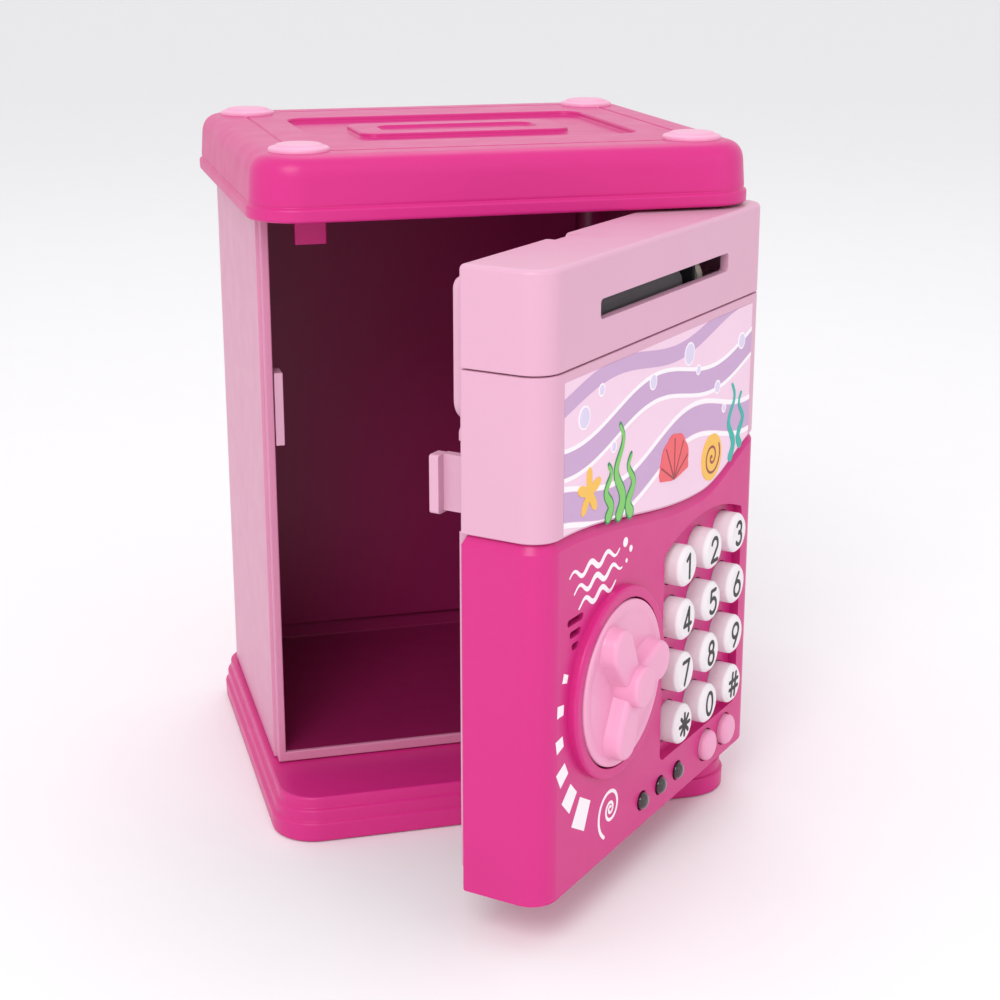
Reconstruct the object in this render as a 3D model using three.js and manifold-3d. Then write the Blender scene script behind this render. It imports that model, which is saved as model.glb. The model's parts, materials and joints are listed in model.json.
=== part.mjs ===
// Toy safe coin bank: a box with an overhanging lid and base, and a thick hinged door that
// carries a keypad, a dial lock and a banknote feeder. Millimetres, +Z up, the front faces -Y,
// and the origin is on the underside, below the middle of the closed bank.
import * as THREE from 'three';
import * as BufferGeometryUtils from 'three/addons/utils/BufferGeometryUtils.js';
import Module from 'manifold-3d';

const wasm = await Module();
wasm.setup();

// ---- driving dimensions --------------------------------------------------------------
const HALF_WIDTH = 65;          // body and door, half across
const FRONT = -60;              // front face of the closed door
const BACK = 60;                // back face of the body
const DOOR_DEPTH = 24;          // the door's own thickness
const BASE_HEIGHT = 13;
const LID_BOTTOM = 177;
const LID_TOP = 194;
const LID_OVERHANG = 5;
const WALL = 3;                 // body walls
const SHELL = 2.4;              // door shell walls
const GAP = 0.3;                // between pieces that touch
const REST_OPENING = THREE.MathUtils.degToRad(45);

const DOOR_REAR = FRONT + DOOR_DEPTH;
const BODY_BOTTOM = BASE_HEIGHT + GAP;
const BODY_TOP = LID_BOTTOM - GAP;
const DOOR_BOTTOM = BASE_HEIGHT + 0.9;
const DOOR_TOP = LID_BOTTOM - 0.8;
const HEAD_BOTTOM = 151;        // parting line under the banknote head
const CORNER = 7.4;             // radius of the door's front corners
const HINGE_RADIUS = 3.5;       // rounded rear corner of the door, beside the hinge pins
const PIVOT_LEAD = 1;           // the pins stand ahead of that corner's centre, to clear the body
const HINGE = { x: HALF_WIDTH - HINGE_RADIUS, y: DOOR_REAR - GAP - HINGE_RADIUS - PIVOT_LEAD };
const PIN_RADIUS = 1.5;
const PIN_HOLE = PIN_RADIUS + GAP;

const COLUMN_PITCH = 17;
const ROW_PITCH = 15.5;
const KEYPAD = { x: 27.9, bottom: 28.6, sides: 88.9, apex: 94.5, half: 26, firstRow: 83.9 };
const KEY_RADIUS = 5.75;
const KEY_NAMES = ['1', '2', '3', '4', '5', '6', '7', '8', '9', 'star', '0', 'hash'];
const RECESS_FLOOR = FRONT + 2.6;
const PAD_BACK = FRONT + 4.8;

const DIAL = { x: -27, z: 63.2, radius: 22.2, ring: 25.6 };
const BLADE = { angles: [8, 122, 250], length: 14.4, root: 3.4, tip: 5.6 };
const PINION_RADIUS = 4.3;      // with a 4.5 mm pitch radius against the latch bar
const LED_Z = 21.6;
const LED_X = [-8.9, 2.4, 13.7];
const BUTTON_X = [33, 46.3];
const BUTTON_Z = 22;
const LATCH = { bottom: 113.4, top: 127.8, plate: 1.8, left: -59, barb: 2.6 };
const CATCH = { bottom: 110, top: 131, thick: 2.5, front: DOOR_REAR + 0.6, back: DOOR_REAR + 7.4 };
const NOTE_SLOT = { half: 38, bottom: 160.5, top: 165.5 };
const ROLLER = { y: -47, low: 158.3, high: 166.8, lowRadius: 4, highRadius: 3.6, half: 28 };
const GEAR_RADIUS = 6.6;
const MOTOR_PINION_RADIUS = 2.7;
const MOTOR_Z = ROLLER.low - GEAR_RADIUS - MOTOR_PINION_RADIUS - GAP;
const CELL = { radius: 7, length: 50, y: -43.4, pitch: 15.5, first: 29 };

const SCREWS = [[-60, -44], [60, -30], [60, 48], [-60, 48]];
const CAP = { radius: 8.2, x: 55, y: 49 };
const CAP_PLACES = [[-CAP.x, -CAP.y], [CAP.x, -CAP.y], [CAP.x, CAP.y], [-CAP.x, CAP.y]];
const WINDOW = { half: 50, bottom: 26, top: 164 };         // opening in the back of the body
const BASE_TIERS = [                                       // each step: how far out, corner, top
  { out: 4, corner: 13, top: 5.4 },
  { out: 3.2, corner: 12.4, top: 9.2 },
  { out: 2, corner: 11.4, top: BASE_HEIGHT },
];
const BASE_FLOOR = 2.6;
const BASE_RIM = { sides: 11, ends: 5 };
const LID_CORNER = 14;
const LID_SKIRT = 3.2;          // height of the lid's lowest, widest band
const LID_EDGE = 6;             // the rounded edge starts this far below the top
const LID_TIERS = [[1.2, 4.2], [2.4, 2.4], [4.4, 1], [7, 0]];   // inset, and top below the lid's top
const LID_SKIN = 4;
const BAY = { x0: -58, x1: -7, z0: 20, z1: 70 };           // battery window
const TAB = { x0: -54, x1: -45, y0: DOOR_REAR + 5, y1: DOOR_REAR + 7.6 };

// ---- solids --------------------------------------------------------------------------
function toSolid(geometry) {
  const plain = geometry.clone();
  plain.deleteAttribute('normal');
  plain.deleteAttribute('uv');
  const merged = BufferGeometryUtils.mergeVertices(plain, 1e-4);
  return new wasm.Manifold(new wasm.Mesh({
    numProp: 3,
    vertProperties: new Float32Array(merged.attributes.position.array),
    triVerts: new Uint32Array(merged.index.array),
  }));
}

function toGeometry(solid) {
  const mesh = solid.getMesh();
  const geometry = new THREE.BufferGeometry();
  geometry.setAttribute('position', new THREE.BufferAttribute(mesh.vertProperties, 3));
  geometry.setIndex(new THREE.BufferAttribute(mesh.triVerts, 1));
  return geometry;
}

function box(x0, x1, y0, y1, z0, z1) {
  const geometry = new THREE.BoxGeometry(x1 - x0, y1 - y0, z1 - z0);
  return toSolid(geometry.translate((x0 + x1) / 2, (y0 + y1) / 2, (z0 + z1) / 2));
}

// A rectangle with its own radius at each corner, in the order low-low, high-low, high-high, low-high.
function roundedRect(x0, x1, y0, y1, radii) {
  const [a, b, c, d] = Array.isArray(radii) ? radii : [radii, radii, radii, radii];
  const quarter = Math.PI / 2;
  const shape = new THREE.Shape();
  shape.moveTo(x0, y0 + a);
  shape.absarc(x0 + a, y0 + a, a, 2 * quarter, 3 * quarter);
  shape.absarc(x1 - b, y0 + b, b, 3 * quarter, 4 * quarter);
  shape.absarc(x1 - c, y1 - c, c, 0, quarter);
  shape.absarc(x0 + d, y1 - d, d, quarter, 2 * quarter);
  shape.closePath();
  return shape;
}

// An outline in X and Y carried up from z0 to z1.
function column(shape, z0, z1, segments = 5) {
  const geometry = new THREE.ExtrudeGeometry(shape, {
    depth: z1 - z0, bevelEnabled: false, curveSegments: segments,
  });
  return toSolid(geometry.translate(0, 0, z0));
}

// An outline in X and Z carried back from y0 to y1.
function plate(shape, y0, y1, segments = 5) {
  const geometry = new THREE.ExtrudeGeometry(shape, {
    depth: y1 - y0, bevelEnabled: false, curveSegments: segments,
  });
  return toSolid(geometry.rotateX(Math.PI / 2).translate(0, y1, 0));
}

// A turned piece: (radius, place along the axis) pairs from one end to the other.
function turned(profile, axis, at, sides = 20) {
  const upward = profile[0][1] < profile[profile.length - 1][1];
  const run = upward ? profile : [...profile].reverse();
  const points = [[0, run[0][1]], ...run, [0, run[run.length - 1][1]]];
  const geometry = new THREE.LatheGeometry(points.map(([r, t]) => new THREE.Vector2(r, t)), sides);
  if (axis === 'x') geometry.rotateZ(-Math.PI / 2);
  if (axis === 'z') geometry.rotateX(Math.PI / 2);
  return toSolid(geometry.translate(...at));
}

function rod(axis, at, radius, from, to, sides = 20) {
  return turned([[radius, from], [radius, to]], axis, at, sides);
}

// ---- materials -----------------------------------------------------------------------
function finish(color, roughness = 0.35, metalness = 0) {
  return new THREE.MeshStandardMaterial({ color, roughness, metalness });
}
const hotPink = finish('#d9217f', 0.3);
const palePink = finish('#eeb6d3', 0.38);
const dialPink = finish('#f3b3d3', 0.35);
const white = finish('#f2ecf0', 0.4);
const black = finish('#1b1719', 0.25);
const board = finish('#1f7a45', 0.5);
const rubber = finish('#b9b4b8', 0.8);
const steel = finish('#b9bcc0', 0.3, 1);
const cellSkin = finish('#2f3a46', 0.45);
const darkPlastic = finish('#3a3a3e', 0.6);
const whiteGear = finish('#e9e4d8', 0.5);

const bank = new THREE.Group();
const door = new THREE.Group();
door.position.set(HINGE.x, HINGE.y, 0);
door.rotation.z = REST_OPENING;
bank.add(door);

function addTo(group, name, solid, material) {
  const mesh = new THREE.Mesh(toGeometry(solid), material);
  mesh.name = name;
  group.add(mesh);
  return mesh;
}

// Door pieces are drawn where they lie with the door closed, and the group opens them.
function addToDoor(name, solid, material) {
  addTo(door, name, solid, material).position.set(-HINGE.x, -HINGE.y, 0);
}

// ---- base, body and lid --------------------------------------------------------------
const pinSpot = [HINGE.x, HINGE.y, 0];

function base() {
  let from = 0;
  let solid = null;
  for (const { out, corner, top } of BASE_TIERS) {
    const half = HALF_WIDTH + out;
    const tier = column(roundedRect(-half, half, FRONT - out, BACK + out, corner), from, top);
    solid = solid ? solid.add(tier) : tier;
    from = top;
  }
  const inside = HALF_WIDTH - BASE_RIM.sides;
  const hollow = roundedRect(-inside, inside, FRONT + BASE_RIM.ends, BACK - BASE_RIM.ends, 6);
  solid = solid.subtract(column(hollow, BASE_FLOOR, BASE_HEIGHT + 1));
  solid = solid.subtract(rod('z', pinSpot, PIN_HOLE, 5, BASE_HEIGHT + 1, 12));
  for (const [x, y] of SCREWS) {
    solid = solid.subtract(rod('z', [x, y, 0], 3.4, -1, 1.6, 12));
    solid = solid.subtract(rod('z', [x, y, 0], 1.8, -1, 14, 12));
  }
  return solid;
}

function baseScrew(x, y) {
  return turned([[3, 0.5], [3, 1.2], [1.4, 1.2], [1.4, 9]], 'z', [x, y, 0], 12);
}

function bodyShell() {
  const outer = roundedRect(-HALF_WIDTH, HALF_WIDTH, DOOR_REAR, BACK, [0.6, 0.6, 9, 9]);
  const inner = roundedRect(-HALF_WIDTH + WALL, HALF_WIDTH - WALL, DOOR_REAR - 20, BACK - WALL,
    [0.2, 0.2, 6.5, 6.5]);
  const band = { depth: 0.8, width: 4.2 };      // the stepped-in edge round the doorway
  let solid = column(outer, BODY_BOTTOM, BODY_TOP);
  solid = solid.subtract(column(inner, BODY_BOTTOM + WALL, BODY_TOP + 1));
  for (const side of [-1, 1]) {
    const edge = side * (HALF_WIDTH - band.depth);
    const beyond = side * (HALF_WIDTH + 2);
    solid = solid.subtract(box(Math.min(edge, beyond), Math.max(edge, beyond),
      DOOR_REAR - 1, DOOR_REAR + band.width, BODY_BOTTOM - 1, BODY_TOP + 1));
  }
  return solid.subtract(box(-WINDOW.half, WINDOW.half, BACK - 10, BACK + 1, WINDOW.bottom, WINDOW.top));
}

// The pane fills the window in the back, and its flange holds it from inside.
function rearPanel() {
  const rect = (grow) => roundedRect(-WINDOW.half - grow, WINDOW.half + grow,
    WINDOW.bottom - grow, WINDOW.top + grow, 3);
  const inside = BACK - WALL;
  return plate(rect(-GAP), inside, BACK - 0.4)
    .add(plate(rect(4), inside - 1.8, inside - GAP))
    .add(plate(rect(-1), inside - 1, inside + 1));
}

// The rib on the left wall that the latch hook catches behind, with three windows in it.
function latchCatch() {
  const x0 = -HALF_WIDTH + WALL + GAP;
  const x1 = x0 + CATCH.thick;
  let solid = box(x0, x1, CATCH.front, CATCH.back, CATCH.bottom, CATCH.top);
  for (const [z0, z1] of [[112, 117.5], [119, 121.5], [123, 129]]) {
    solid = solid.subtract(box(x1 - 1.2, x1 + 1, CATCH.front + 1.4, CATCH.back - 1.4, z0, z1));
  }
  return solid;
}

function lid() {
  const half = HALF_WIDTH + LID_OVERHANG;
  const y0 = FRONT - LID_OVERHANG;
  const y1 = BACK + LID_OVERHANG;
  const tier = (inset, from, to) => column(roundedRect(-half + inset, half - inset, y0 + inset,
    y1 - inset, Math.max(LID_CORNER - inset, LID_CORNER / 2)), from, to);
  let from = LID_BOTTOM + LID_SKIRT;
  let solid = tier(0, LID_BOTTOM, from).add(tier(0.8, from, LID_TOP - LID_EDGE));
  from = LID_TOP - LID_EDGE;
  for (const [inset, below] of LID_TIERS) {
    solid = solid.add(tier(inset, from, LID_TOP - below));
    from = LID_TOP - below;
  }
  // Hollow over the money box, and a second hollow over the door.
  const ceiling = LID_TOP - LID_SKIN;
  solid = solid.subtract(column(roundedRect(-61, 61, DOOR_REAR + 2, BACK - 5, 5), LID_BOTTOM - 1, ceiling));
  solid = solid.subtract(column(roundedRect(-54, 54, FRONT, DOOR_REAR - 2, 5), LID_BOTTOM - 1, ceiling));
  // Sunk frame on top, with a raised island round the coin slot.
  solid = solid.subtract(column(roundedRect(-46, 46, -32, 32, 6), LID_TOP - 1.6, LID_TOP + 1));
  solid = solid.add(column(roundedRect(-31, 31, -14, 14, 5), LID_TOP - 3, LID_TOP - 0.2));
  solid = solid.subtract(column(roundedRect(-17, 17, -2.3, 2.3, 2.2), LID_BOTTOM, LID_TOP + 1));
  for (const [x, y] of CAP_PLACES) {
    solid = solid.subtract(rod('z', [x, y, 0], CAP.radius + 0.4, LID_TOP - 1, LID_TOP + 1, 24));
  }
  // Tab that reaches down inside the front left corner.
  solid = solid.add(box(TAB.x0, TAB.x1, TAB.y0, TAB.y1, LID_BOTTOM - 11, LID_TOP - 3));
  return solid.subtract(rod('z', pinSpot, PIN_HOLE, LID_BOTTOM - 1, LID_BOTTOM + 6, 12));
}

function lidCap(x, y) {
  const { radius } = CAP;
  return turned([[radius, -0.6], [radius, 0.7], [radius - 1.2, 1.5], [3, 1.9]], 'z', [x, y, LID_TOP], 24);
}

addTo(bank, 'base', base(), hotPink);
SCREWS.forEach(([x, y], i) => addTo(bank, `base_screw_${i + 1}`, baseScrew(x, y), steel));
addTo(bank, 'body_shell', bodyShell(), palePink);
addTo(bank, 'rear_panel', rearPanel(), hotPink);
addTo(bank, 'latch_catch', latchCatch(), palePink);
addTo(bank, 'lid', lid(), hotPink);
CAP_PLACES.forEach(([x, y], i) => addTo(bank, `lid_cap_${i + 1}`, lidCap(x, y), dialPink));
addTo(bank, 'hinge_pin_lower', rod('z', pinSpot, PIN_RADIUS, 5.4, 21, 12), steel);
addTo(bank, 'hinge_pin_upper', rod('z', pinSpot, PIN_RADIUS, 170, LID_BOTTOM + 5.4, 12), steel);

// ---- door shells ---------------------------------------------------------------------
// The wavy seam: a crest at the left, a trough over the keypad and a rise to the right corner.
function seamHeight(x) {
  const crest = 109.9;
  const trough = 100.7;
  const rise = 10.4;
  if (x < -59) return crest;
  if (x < 24) return trough + (crest - trough) / 2 * (1 + Math.cos(Math.PI * (x + 59) / 83));
  return trough + rise / 2 * (1 - Math.cos(Math.PI * (x - 24) / 44));
}

// Everything below the seam (or above it), as a block that cuts a shell in two.
function seamBlock(below, shift) {
  const reach = HALF_WIDTH + 3;
  const steps = 26;
  const far = below ? 0 : 200;
  const shape = new THREE.Shape();
  shape.moveTo(-reach, far);
  for (let i = 0; i <= steps; i += 1) {
    const x = -reach + 2 * reach * i / steps;
    shape.lineTo(x, seamHeight(Math.min(x, HALF_WIDTH)) + shift);
  }
  shape.lineTo(reach, far);
  shape.closePath();
  return plate(shape, FRONT - 5, DOOR_REAR + 5);
}

function doorShell(z0, z1, cavity0, cavity1) {
  const outer = roundedRect(-HALF_WIDTH, HALF_WIDTH, FRONT, DOOR_REAR - GAP,
    [CORNER, CORNER, HINGE_RADIUS, 1]);
  const inner = roundedRect(-HALF_WIDTH + SHELL, HALF_WIDTH - SHELL, FRONT + SHELL, DOOR_REAR + 4,
    [CORNER - SHELL, CORNER - SHELL, 0.2, 0.2]);
  return column(outer, z0, z1, 6).subtract(column(inner, cavity0, cavity1, 6));
}

function hingeBoss(z0, z1) {
  return column(roundedRect(HINGE.x - HINGE_RADIUS, HALF_WIDTH - 0.5, HINGE.y - 4, HINGE.y + HINGE_RADIUS - 0.2,
    [0.2, 0.2, HINGE_RADIUS - 0.6, 0.2]), z0, z1);
}

function doorHead() {
  const solid = doorShell(HEAD_BOTTOM + GAP, DOOR_TOP, HEAD_BOTTOM - 1, DOOR_TOP - SHELL)
    .add(hingeBoss(DOOR_TOP - 8, DOOR_TOP - 0.5));
  return solid
    .subtract(rod('z', pinSpot, PIN_HOLE, DOOR_TOP - 9, DOOR_TOP + 1, 12))
    .subtract(plate(roundedRect(-NOTE_SLOT.half, NOTE_SLOT.half, NOTE_SLOT.bottom, NOTE_SLOT.top, 1),
      FRONT - 1, FRONT + 6))
    .subtract(box(-24, -12, DOOR_REAR - 5, DOOR_REAR, DOOR_TOP - 1.2, DOOR_TOP + 1));
}

function doorMiddle() {
  return doorShell(90, HEAD_BOTTOM, 80, HEAD_BOTTOM + 1).intersect(seamBlock(false, GAP));
}

function keypadOutline() {
  const { x, bottom, sides, apex, half } = KEYPAD;
  const shape = new THREE.Shape();
  const r = 2.6;
  shape.moveTo(x - half + r, bottom);
  shape.lineTo(x + half - r, bottom);
  shape.absarc(x + half - r, bottom + r, r, -Math.PI / 2, 0);
  shape.lineTo(x + half, sides - r);
  shape.quadraticCurveTo(x + half, sides, x + half - r, sides + 0.9);
  shape.quadraticCurveTo(x, 2 * apex - sides - 0.9, x - half + r, sides + 0.9);
  shape.quadraticCurveTo(x - half, sides, x - half, sides - r);
  shape.lineTo(x - half, bottom + r);
  shape.absarc(x - half + r, bottom + r, r, Math.PI, Math.PI * 1.5);
  shape.closePath();
  return shape;
}

function keyPlace(index) {
  return {
    x: KEYPAD.x + COLUMN_PITCH * (index % 3 - 1),
    z: KEYPAD.firstRow - ROW_PITCH * Math.floor(index / 3),
  };
}

const SPEAKER_SLOTS = [[8.4, 87.3], [6, 83.9], [3.8, 80.5]];
const SPEAKER = { x: -48.2, z: 83.5 };

function doorFront() {
  let solid = doorShell(DOOR_BOTTOM, 120, DOOR_BOTTOM + SHELL, 125).intersect(seamBlock(true, 0));
  solid = solid.add(hingeBoss(DOOR_BOTTOM + 0.5, DOOR_BOTTOM + 8));
  solid = solid.subtract(rod('z', pinSpot, PIN_HOLE, 0, DOOR_BOTTOM + 9, 12));
  solid = solid.add(box(-0.5, 56.3, FRONT + SHELL - 0.5, PAD_BACK, 27.8, 96));
  solid = solid.subtract(plate(keypadOutline(), FRONT - 1, RECESS_FLOOR, 8));
  KEY_NAMES.forEach((_, i) => {
    const { x, z } = keyPlace(i);
    solid = solid.subtract(rod('y', [x, 0, z], KEY_RADIUS + GAP, FRONT - 1, PAD_BACK + 1, 20));
  });
  const centre = [DIAL.x, 0, DIAL.z];
  const ring = turned([[DIAL.ring, FRONT + 1], [DIAL.ring, FRONT - 1.8], [DIAL.ring - 0.9, FRONT - 2.6],
    [10, FRONT - 2.6], [10, FRONT + 1]], 'y', centre, 40);
  solid = solid.add(ring).subtract(rod('y', centre, DIAL.radius + 0.5, FRONT - 6, FRONT + 1, 40));
  solid = solid.subtract(rod('y', centre, 3.4, FRONT - 1, FRONT + 6, 16));
  for (const x of LED_X) {
    solid = solid.subtract(rod('y', [x, 0, LED_Z], 2.85, FRONT - 1, FRONT + 6, 16));
  }
  for (const x of BUTTON_X) {
    solid = solid.subtract(rod('y', [x, 0, BUTTON_Z], 4.95, FRONT - 1, FRONT + 6, 20));
  }
  for (const [length, z] of SPEAKER_SLOTS) {
    const half = length / 2;
    solid = solid.subtract(plate(roundedRect(-49.2 - half, -49.2 + half, z - 0.9, z + 0.9, 0.8),
      FRONT - 1, FRONT + 6, 3));
  }
  return solid;
}

function feederHousing() {
  const outline = roundedRect(-60.6, 57, 136, 172, [6, 6, 3, 3]);
  return plate(outline, DOOR_REAR, DOOR_REAR + 4.6)
    .subtract(plate(roundedRect(-NOTE_SLOT.half, NOTE_SLOT.half, NOTE_SLOT.bottom, NOTE_SLOT.top, 1),
      DOOR_REAR - 1, DOOR_REAR + 6));
}

function doorBack() {
  const outline = roundedRect(-60, 57, 17, 136 - GAP, 2);
  return plate(outline, DOOR_REAR, DOOR_REAR + 2.8)
    .subtract(box(BAY.x0, BAY.x1, DOOR_REAR - 1, DOOR_REAR + 4, BAY.z0, BAY.z1))
    .subtract(box(-70, -49, DOOR_REAR - 1, DOOR_REAR + 4, CATCH.bottom - 1, CATCH.top + 1));
}

function batteryCover() {
  return plate(roundedRect(BAY.x0 + GAP, BAY.x1 - GAP, BAY.z0 + GAP, BAY.z1 - GAP, 1.5),
    DOOR_REAR, DOOR_REAR + 2.4)
    .subtract(rod('y', [-32.5, 0, 66], 1.9, DOOR_REAR - 1, DOOR_REAR + 5, 12));
}

function batteryBox() {
  const outer = box(-60.2, -4.8, FRONT + 8.2, DOOR_REAR - 0.6, 19, 71);
  return outer.subtract(box(-58.8, -6.2, FRONT + 9.4, DOOR_REAR + 2, 20.4, 69.6));
}

function cell(index) {
  const z = CELL.first + CELL.pitch * index;
  const half = CELL.length / 2;
  return turned([[CELL.radius, -half + 1.4], [CELL.radius, half - 1.4], [2.6, half - 1.4], [2.6, half]],
    'x', [-32.5, CELL.y, z], 16);
}

addToDoor('door_head', doorHead(), palePink);
addToDoor('door_middle', doorMiddle(), palePink);
addToDoor('door_front', doorFront(), hotPink);
addToDoor('feeder_housing', feederHousing(), palePink);
addToDoor('door_back', doorBack(), palePink);
addToDoor('battery_cover', batteryCover(), palePink);
addToDoor('battery_cover_screw', turned([[1.5, -2], [1.5, 1.9], [1.5, 2]], 'y',
  [-32.5, DOOR_REAR, 66], 12), steel);
addToDoor('battery_box', batteryBox(), darkPlastic);
for (let i = 0; i < 3; i += 1) addToDoor(`battery_cell_${i + 1}`, cell(i), cellSkin);

// ---- lock ----------------------------------------------------------------------------
function dial() {
  const centre = [DIAL.x, 0, DIAL.z];
  let solid = turned([[3, FRONT + 6.8], [3, FRONT + 0.7], [DIAL.radius - 0.4, FRONT + 0.7],
    [DIAL.radius, FRONT], [DIAL.radius, FRONT - 2.2], [DIAL.radius - 1, FRONT - 3]], 'y', centre, 40);
  const { length, root, tip } = BLADE;
  for (const angle of BLADE.angles) {
    const blade = new THREE.Shape();
    blade.moveTo(0, -root);
    blade.lineTo(length, -tip);
    blade.absarc(length, 0, tip, -Math.PI / 2, Math.PI / 2);
    blade.lineTo(0, root);
    blade.closePath();
    const geometry = new THREE.ExtrudeGeometry(blade, { depth: 5, bevelEnabled: false, curveSegments: 8 });
    geometry.rotateZ(THREE.MathUtils.degToRad(angle)).rotateX(Math.PI / 2);
    solid = solid.add(toSolid(geometry.translate(DIAL.x, FRONT - 2, DIAL.z)));
  }
  return solid.add(turned([[5.6, FRONT - 2], [5.6, FRONT - 8.6], [4.6, FRONT - 9.4]], 'y', centre, 24));
}

function dialPinion() {
  const centre = [DIAL.x, 0, DIAL.z];
  return rod('y', centre, PINION_RADIUS, FRONT + 4.1, FRONT + 6.2, 20)
    .subtract(rod('y', centre, 3 + GAP, FRONT + 3, FRONT + 7, 20));
}

// Flat bar over the dial's pinion, with an arm that reaches back through the door and hooks sideways.
function latchBolt() {
  const y0 = FRONT + 4.3;
  const y1 = y0 + LATCH.plate;
  const back = DOOR_REAR + 10.4;
  const armRight = LATCH.left + LATCH.barb;
  const bar = box(-31.5, -18, y0, y1, DIAL.z + PINION_RADIUS + 0.4, LATCH.top);
  const reach = box(LATCH.left, -18, y0, y1, LATCH.bottom, LATCH.top);
  const arm = box(LATCH.left, armRight, y0, back - 2.4, LATCH.bottom, LATCH.top);
  const barb = plate(roundedRect(LATCH.left - 2.5, armRight, LATCH.bottom - 0.6, LATCH.top, 0.8),
    back - LATCH.barb, back);
  return bar.add(reach).add(arm).add(barb);
}

addToDoor('dial', dial(), dialPink);
addToDoor('dial_pinion', dialPinion(), whiteGear);
addToDoor('latch_bolt', latchBolt(), palePink);
addToDoor('lock_solenoid', box(-9, 9, FRONT + 4, FRONT + 16, 113, 127)
  .add(rod('x', [0, FRONT + 10, 120], 2.4, -12.4, 0, 12)), steel);

// ---- keypad, buttons and lamps -------------------------------------------------------
const KEY_PROFILE = [[KEY_RADIUS - 0.9, FRONT - 3.2], [KEY_RADIUS, FRONT - 2.4], [KEY_RADIUS, PAD_BACK + GAP],
  [6.9, PAD_BACK + GAP], [6.9, PAD_BACK + 1.5]];
const BUTTON_PROFILE = [[3.4, FRONT - 2.6], [4.5, FRONT - 1.8], [4.5, FRONT + 2.8], [5.2, FRONT + 2.8],
  [5.2, FRONT + 4.4]];
const LED_PROFILE = [[1.3, FRONT - 1.9], [2.2, FRONT - 1.2], [2.5, FRONT - 0.2], [2.5, FRONT + 7]];

KEY_NAMES.forEach((name, i) => {
  const { x, z } = keyPlace(i);
  addToDoor(`key_${name}`, turned(KEY_PROFILE, 'y', [x, 0, z], 20), white);
});
BUTTON_X.forEach((x, i) => {
  addToDoor(`button_${i + 1}`, turned(BUTTON_PROFILE, 'y', [x, 0, BUTTON_Z], 20), dialPink);
});
LED_X.forEach((x, i) => {
  addToDoor(`led_${i + 1}`, turned(LED_PROFILE, 'y', [x, 0, LED_Z], 16), black);
});
addToDoor('keypad_mat', box(2, 54, FRONT + 8.2, FRONT + 9.3, 28, 92), rubber);
addToDoor('circuit_board', box(-3.5, 57, FRONT + 9.6, FRONT + 11.2, 28, 98), board);
addToDoor('speaker', turned([[12.6, FRONT + 3], [12.6, FRONT + 5], [9, FRONT + 8], [6, FRONT + 8]], 'y',
  [SPEAKER.x + 1.4, 0, SPEAKER.z + 2], 24), darkPlastic);

// ---- banknote feeder -----------------------------------------------------------------
function roller(z, radius, from, to) {
  const { half } = ROLLER;
  return turned([[1.5, from], [1.5, -half], [radius, -half], [radius, half], [1.5, half], [1.5, to]],
    'x', [0, ROLLER.y, z], 16);
}

function feederFrame() {
  let solid = box(-31.6, 31.6, ROLLER.y - 6, ROLLER.y + 6, HEAD_BOTTOM + 0.5, HEAD_BOTTOM + 1.8);
  for (const x of [-31.6, 30]) {
    solid = solid.add(box(x, x + 1.6, ROLLER.y - 6, ROLLER.y + 6, HEAD_BOTTOM + 0.5, 172));
  }
  for (const z of [ROLLER.low, ROLLER.high]) {
    solid = solid.subtract(rod('x', [0, ROLLER.y, z], 1.8, -40, 40, 12));
  }
  return solid;
}

addToDoor('feeder_frame', feederFrame(), darkPlastic);
addToDoor('feed_roller', roller(ROLLER.low, ROLLER.lowRadius, -33, 36), rubber);
addToDoor('pinch_roller', roller(ROLLER.high, ROLLER.highRadius, -31.9, 31.9), rubber);
addToDoor('roller_gear', rod('x', [0, ROLLER.y, ROLLER.low], GEAR_RADIUS, 32.2, 35.4, 24)
  .subtract(rod('x', [0, ROLLER.y, ROLLER.low], 1.5 + GAP, 30, 40, 12)), whiteGear);
addToDoor('motor_pinion', rod('x', [0, ROLLER.y, MOTOR_Z], MOTOR_PINION_RADIUS, 32.2, 35.4, 12)
  .subtract(rod('x', [0, ROLLER.y, MOTOR_Z], 1 + GAP, 30, 40, 8)), whiteGear);
addToDoor('feed_motor', rod('x', [0, ROLLER.y, MOTOR_Z], 7.6, 38, 60, 20)
  .add(rod('x', [0, ROLLER.y, MOTOR_Z], 1, 32, 39, 8)), steel);

export default bank;
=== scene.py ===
# %% [markdown]
# # A toy safe with a keypad door
# The real toy is a set of moulded plastic shells: a box, a lid and a base that overhang it, and a
# thick door full of works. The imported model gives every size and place. This script loads it as
# a fixed frame and builds the fine surfaces around it.

# %% Frame and units
import json
import math

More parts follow.
